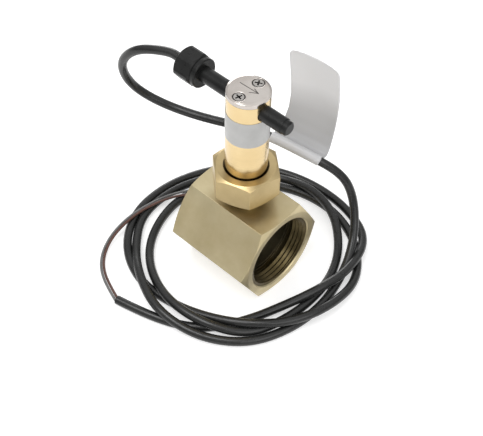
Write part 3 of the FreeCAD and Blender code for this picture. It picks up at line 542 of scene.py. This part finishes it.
def wrapped_run(points):
    """The stretch of the cable that the label wraps, on its way past the tower."""
    low, high = WRAP_START * MM, WRAP_END * MM
    past_loop = next(index for index, point in enumerate(points) if point.z < WRAP_HIGH * MM)
    stretch = []
    for before, after in zip(points[past_loop:], points[past_loop + 1:]):
        if before.z < WRAP_LOW * MM:
            break
        for end in (low, high):
            if before.x < end <= after.x:
                stretch.append(before.lerp(after, (end - before.x) / (after.x - before.x)))
        if low < after.x < high:
            stretch.append(after)
    return stretch


run = wrapped_run(cable_line)


def directions_at(points, index):
    """Sideways and upward directions at a point of a line."""
    ahead = points[min(index + 1, len(points) - 1)]
    behind = points[max(index - 1, 0)]
    along = (ahead - behind).normalized()
    aside = Vector((-along.y, along.x, 0)).normalized()
    return aside, along.cross(aside)


def make_wrap():
    """A film wrapped once round the cable."""
    around = 40
    rows = []
    for index, point in enumerate(run):
        aside, up = directions_at(run, index)
        rows.append([
            point + (aside * math.cos(turn) + up * math.sin(turn)) * WRAP_RADIUS * MM
            for turn in (2 * math.pi * k / around for k in range(around + 1))
        ])
    item = add_piece("cable_label_wrap", grid_mesh("cable_label_wrap", rows))
    # The wrap's film carries the same painted shade, darker lower down.
    item.data.materials.append(shaded_paper_film("wrap_film", (0.98, 0.98, 1.0)))
    thicken(item, WRAP_THICKNESS)
    return item


wrap = make_wrap()
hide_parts("label_wrap")


def between(profile, steps):
    """A profile with more points on straight lines between its own."""
    fine = [
        tuple(a + (b - a) * step / steps for a, b in zip(here, there))
        for here, there in zip(profile, profile[1:]) for step in range(steps)
    ]
    return fine + [profile[-1]]


def make_flag():
    """The two ends of the label stuck together: a film that bends up from the wrap and stands."""
    start = run[0]
    chord = run[-1] - start
    along = chord.normalized()
    aside = Vector((-chord.y, chord.x, 0)).normalized()
    top = FLAG_PROFILE[-1][1]
    columns = 28
    rows = []
    for out, up, left, right in between(FLAG_PROFILE, 4):
        rise = max(up - (top - FLAG_CORNER), 0)
        inset = FLAG_CORNER - math.sqrt(max(FLAG_CORNER ** 2 - rise ** 2, 0))
        low, high = left + inset, chord.length / MM + right - inset
        bow_here = FLAG_BOW * math.sin(math.pi * 0.85 * min(up / top, 1))
        row = []
        for k in range(columns + 1):
            share = k / columns
            bow = bow_here * math.sin(math.pi * share)
            row.append(start + along * (low + (high - low) * share) * MM + aside * (out + bow) * MM
                       + mm((0, 0, up)))
        rows.append(row)
    item = add_piece("cable_label_flag", grid_mesh("cable_label_flag", rows))
    item.data.materials.append(finishes["paper_label"])
    thicken(item, FLAG_THICKNESS)
    return item


flag = make_flag()
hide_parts("label_flag")

length_of(spline_points(brown))
length_of(spline_points(grey))


# --- Threads in the tee's two ends -----------------------------------------------------------------

THREAD_ROOT, THREAD_CREST, THREAD_PITCH = 20.93, 19.55, 2.309
THREAD_MOUTH, THREAD_LENGTH = 25.1, 11.1
# The ridge across one pitch: share of the pitch and share of the ridge's height.
THREAD_PROFILE = [
    (0.0, 0.0), (0.08, 0.02), (0.42, 0.92), (0.5, 1.0), (0.58, 0.92), (0.92, 0.02), (1.0, 0.0),
]


def make_port_thread(name, side, finish):
    """The internal pipe thread of one end: a helical ridge that starts and ends gently."""
    around = 96
    total = int(THREAD_LENGTH / THREAD_PITCH * around)
    rows = []
    for step in range(total + 1):
        angle = 2 * math.pi * step / around
        fade = min(1.0, step / (around * 0.5), (total - step) / (around * 0.25))
        row = []
        for share, height in THREAD_PROFILE:
            inward = THREAD_PITCH * (step / around + share - 1.0)
            axial = THREAD_MOUTH - max(inward, 0)
            radius = THREAD_ROOT - (THREAD_ROOT - THREAD_CREST) * height * fade
            row.append(mm((side * axial, radius * math.cos(angle),
                           PORT_AXIS + side * radius * math.sin(angle))))
        rows.append(row)
    item = add_piece(name, grid_mesh(name, rows))
    item.data.materials.append(finish)
    smooth(item, 50)
    return item


# The threads' brass is painted dark as shade deep inside the tee's ends.
shaded_cut_brass = shaded_thread_brass()
for name, side in (("outlet_thread", 1), ("inlet_thread", -1)):
    make_port_thread(name, side, shaded_cut_brass)


# --- Brass that closes the tower's slot above the switch tube --------------------------------------

TOWER_FACE, TUBE_FACE = 10.78, 4.08
SLOT_END_INSIDE, SLOT_END_ROOF, SLOT_HALF_WIDTH = 7.6, 120.55, 4.25


def make_slot_end(name, side):
    """A shell over the tube, flush with the tower."""
    columns = 24
    rows = []
    for step in range(columns + 1):
        across = SLOT_HALF_WIDTH * (step / (columns / 2) - 1)
        low = TUBE_AXIS + math.sqrt(max(TUBE_FACE ** 2 - across ** 2, 0))
        reach = math.sqrt(TOWER_FACE ** 2 - across ** 2)
        outline = ((SLOT_END_INSIDE, low), (reach, low), (reach, SLOT_END_ROOF),
                   (SLOT_END_INSIDE, SLOT_END_ROOF))
        rows.append([mm((side * outward, across, height)) for outward, height in outline])
    item = add_piece(name, grid_mesh(name, rows))
    item.data.materials.append(finishes["turned_brass"])
    smooth(item, 30)
    return item


for name, side in (("slot_end_front", 1), ("slot_end_back", -1)):
    make_slot_end(name, side)


# --- Cap: screws with a cross recess, and the flow arrow -------------------------------------------

# How far each screw stands from the cap's middle.
SCREW_OFFSET = 6.75
# The screw's half section from the middle of its face to its tip: radius and height.
SCREW_SECTION = [
    (0.0, 0.02), (1.9, 0.02), (2.35, 0.02), (2.56, -0.02), (2.62, 0.012), (3.05, 0.012),
    (3.05, -0.05), (1.2, -1.75), (1.2, -9.8), (1.0, -10.0), (0.0, -10.0),
]
# One bar of the cross at its top and at its bottom: half length, half width and height.
CROSS_BAR = [(1.961, 0.4326, 0.1), (0.8, 0.3, -1.25)]
# The parts of the screw painted dark as shade: the walls of its recess, and the ring round its head.
RECESS_REACH, RECESS_TOP, RECESS_FLOOR, RING_START = 2.0, 0.05, 1.4, 2.57

bright_steel = steel("screw_steel", (0.44, 0.42, 0.4), 0.3)
shaded_steel = steel("screw_shade", (0.045, 0.042, 0.04), 0.45)


def baked(mesh, name):
    """A mesh from a bmesh, which is freed."""
    data = bpy.data.meshes.new(name)
    mesh.to_mesh(data)
    mesh.free()
    return data


def lathe_mesh(name, section):
    """A solid of revolution from a half section that starts and ends on the axis."""
    mesh = bmesh.new()
    around = 48
    loops = []
    for radius, height in section:
        loops.append([
            mesh.verts.new(mm((radius * math.cos(2 * math.pi * k / around),
                               radius * math.sin(2 * math.pi * k / around), height)))
            for k in range(around if radius else 1)
        ])
    for inner, outer in zip(loops, loops[1:]):
        for k in range(around):
            following = (k + 1) % around
            if len(inner) == 1:
                mesh.faces.new((inner[0], outer[k], outer[following]))
            elif len(outer) == 1:
                mesh.faces.new((inner[k], outer[0], inner[following]))
            else:
                mesh.faces.new((inner[k], outer[k], outer[following], inner[following]))
    bmesh.ops.recalc_face_normals(mesh, faces=mesh.faces)
    return baked(mesh, name)


def add_prism(mesh, lower, upper):
    """A closed block between two loops of four vertices."""
    mesh.faces.new(upper)
    mesh.faces.new(reversed(lower))
    for k in range(4):
        following = (k + 1) % 4
        mesh.faces.new((lower[k], lower[following], upper[following], upper[k]))


def cross_mesh():
    """A tapered cross that cuts the recess."""
    mesh = bmesh.new()
    for turn in (0, 90):
        rotation = Matrix.Rotation(math.radians(turn), 4, "Z")
        upper, lower = (
            [mesh.verts.new(rotation @ mm((x, y, height)))
             for x, y in ((-long, -wide), (long, -wide), (long, wide), (-long, wide))]
            for long, wide, height in CROSS_BAR
        )
        add_prism(mesh, lower, upper)
    bmesh.ops.recalc_face_normals(mesh, faces=mesh.faces)
    return baked(mesh, "cross")


def cut_recess(item):
    """Cut the cross out of a screw's face."""
    cutter = add_item("cross", cross_mesh())
    cut = item.modifiers.new("recess", "BOOLEAN")
    cut.operation = "DIFFERENCE"
    cut.solver = "EXACT"
    cut.use_self = True
    cut.object = cutter
    bpy.context.view_layer.update()
    evaluated = item.evaluated_get(bpy.context.evaluated_depsgraph_get())
    data = bpy.data.meshes.new_from_object(evaluated)
    item.modifiers.clear()
    item.data = data
    bpy.data.objects.remove(cutter)


def make_screw(name, offset, turn):
    """A countersunk screw with a cross recess, across the cap and turned by some degrees."""
    item = add_item(name, lathe_mesh(name, SCREW_SECTION))
    cut_recess(item)
    item.data.materials.clear()
    item.data.materials.append(bright_steel)
    item.data.materials.append(shaded_steel)
    # Painted shade: the recess walls and the ring round the head take the near-black steel.
    for face in item.data.polygons:
        reach = math.hypot(face.center.x, face.center.y) / MM
        depth = -face.center.z / MM
        in_recess = reach < RECESS_REACH and RECESS_TOP < depth < RECESS_FLOOR
        if in_recess or reach > RING_START:
            face.material_index = 1
    face_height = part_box("clamp_screws")[1][2]
    place = Matrix.Translation((0, offset * MM, face_height))
    item.data.transform(place @ Matrix.Rotation(math.radians(turn), 4, "Z"))
    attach(item, "housing")
    smooth(item, 30)
    return item


screws = [make_screw("screw_near", -SCREW_OFFSET, -14), make_screw("screw_far", SCREW_OFFSET, 30)]
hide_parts("clamp_screws")


# The arrow's strokes on the cap, each from one point to another.
ARROW_STROKES = [((-6.1, 0.8), (5.0, 1.1)), ((5.0, 1.1), (1.7, 2.2)), ((5.0, 1.1), (1.5, -1.2))]
ARROW_WIDTH, ARROW_RISE, ARROW_DEPTH = 0.42, 0.03, 0.1


def add_stroke(mesh, start, end, top):
    """A thin bar between two points on the cap."""
    start, end = Vector((*start, 0)), Vector((*end, 0))
    along = (end - start).normalized() * ARROW_WIDTH / 2
    aside = Vector((-along.y, along.x, 0))
    corners = [start - along - aside, end + along - aside, end + along + aside, start - along + aside]
    lower = [mesh.verts.new(mm((corner.x, corner.y, top - ARROW_DEPTH))) for corner in corners]
    upper = [mesh.verts.new(mm((corner.x, corner.y, top))) for corner in corners]
    add_prism(mesh, lower, upper)


def make_arrow():
    """The arrow of the flow's direction: dark strokes that stand a hair above the cap."""
    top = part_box("cap_disc")[1][2] / MM
    mesh = bmesh.new()
    for start, end in ARROW_STROKES:
        add_stroke(mesh, start, end, top + ARROW_RISE)
    item = add_piece("flow_arrow", baked(mesh, "flow_arrow"))
    finish = Finish("engraving", (0.09, 0.08, 0.075), 0.5, 0.6)
    finish.tint(finish.noise(900, 3), [(0.3, (0.06, 0.055, 0.05)), (0.7, (0.12, 0.11, 0.1))])
    item.data.materials.append(finish.material)
    return item


make_arrow()


# --- Floor and light -------------------------------------------------------------------------------

FLOOR_HALF = 6
# How bright the surroundings are: on matt surfaces, and in reflections at the horizon and high up.
AMBIENT, HORIZON, SKY, SKY_HEIGHT = 0.62, 0.18, 1.05, 0.75


def add_floor():
    """A pale floor that keeps the shadow."""
    half = FLOOR_HALF
    data = bpy.data.meshes.new("floor")
    data.from_pydata([(-half, -half, 0), (half, -half, 0), (half, half, 0), (-half, half, 0)], [],
                     [(0, 1, 2, 3)])
    finish = Finish("floor", (0.66, 0.66, 0.66), 0.9, Specular_IOR_Level=0.0,
                    Emission_Color=(1, 1, 1, 1), Emission_Strength=0.54)
    data.materials.append(finish.material)
    add_item("floor", data)


def add_light(name, place, size, power):
    """A soft square light that faces the tee; places and sizes in metres, power in watts."""
    data = bpy.data.lights.new(name, "AREA")
    data.shape = "SQUARE"
    data.size = size
    data.energy = power
    light = add_item(name, data)
    light.location = place
    light.rotation_euler = (mm((0, 0, 50)) - light.location).to_track_quat("-Z", "Y").to_euler()


def add_world():
    """White to the camera, a sky that brightens upwards in reflections, and mild light elsewhere."""
    world = bpy.data.worlds.new("world")
    bpy.context.scene.world = world
    world.use_nodes = True
    tree = world.node_tree
    background = tree.nodes["Background"]
    background.inputs["Color"].default_value = (1, 1, 1, 1)
    path = tree.nodes.new("ShaderNodeLightPath")
    place = tree.nodes.new("ShaderNodeTexCoord")
    split = tree.nodes.new("ShaderNodeSeparateXYZ")
    tree.links.new(place.outputs["Generated"], split.inputs["Vector"])
    sky = tree.nodes.new("ShaderNodeMapRange")
    sky.inputs["From Max"].default_value = SKY_HEIGHT
    sky.inputs["To Min"].default_value = HORIZON
    sky.inputs["To Max"].default_value = SKY
    tree.links.new(split.outputs["Z"], sky.inputs["Value"])
    for_glossy, for_transmission, for_camera = (tree.nodes.new("ShaderNodeMix") for _ in range(3))
    for_glossy.inputs["A"].default_value = AMBIENT
    tree.links.new(sky.outputs["Result"], for_glossy.inputs["B"])
    for_transmission.inputs["B"].default_value = 1.0
    tree.links.new(for_glossy.outputs["Result"], for_transmission.inputs["A"])
    for_camera.inputs["B"].default_value = 1.0
    tree.links.new(for_transmission.outputs["Result"], for_camera.inputs["A"])
    for ray, choice in (("Is Glossy Ray", for_glossy), ("Is Transmission Ray", for_transmission),
                        ("Is Camera Ray", for_camera)):
        tree.links.new(path.outputs[ray], choice.inputs["Factor"])
    tree.links.new(for_camera.outputs["Result"], background.inputs["Strength"])


add_floor()
add_world()
add_light("key", (-0.1, -0.45, 1.15), 0.7, 7.5)
add_light("fill", (0.95, -0.25, 0.7), 0.8, 3.4)
add_light("rim", (-0.85, 0.7, 0.3), 0.5, 3)
bpy.context.scene.view_settings.view_transform = "Standard"
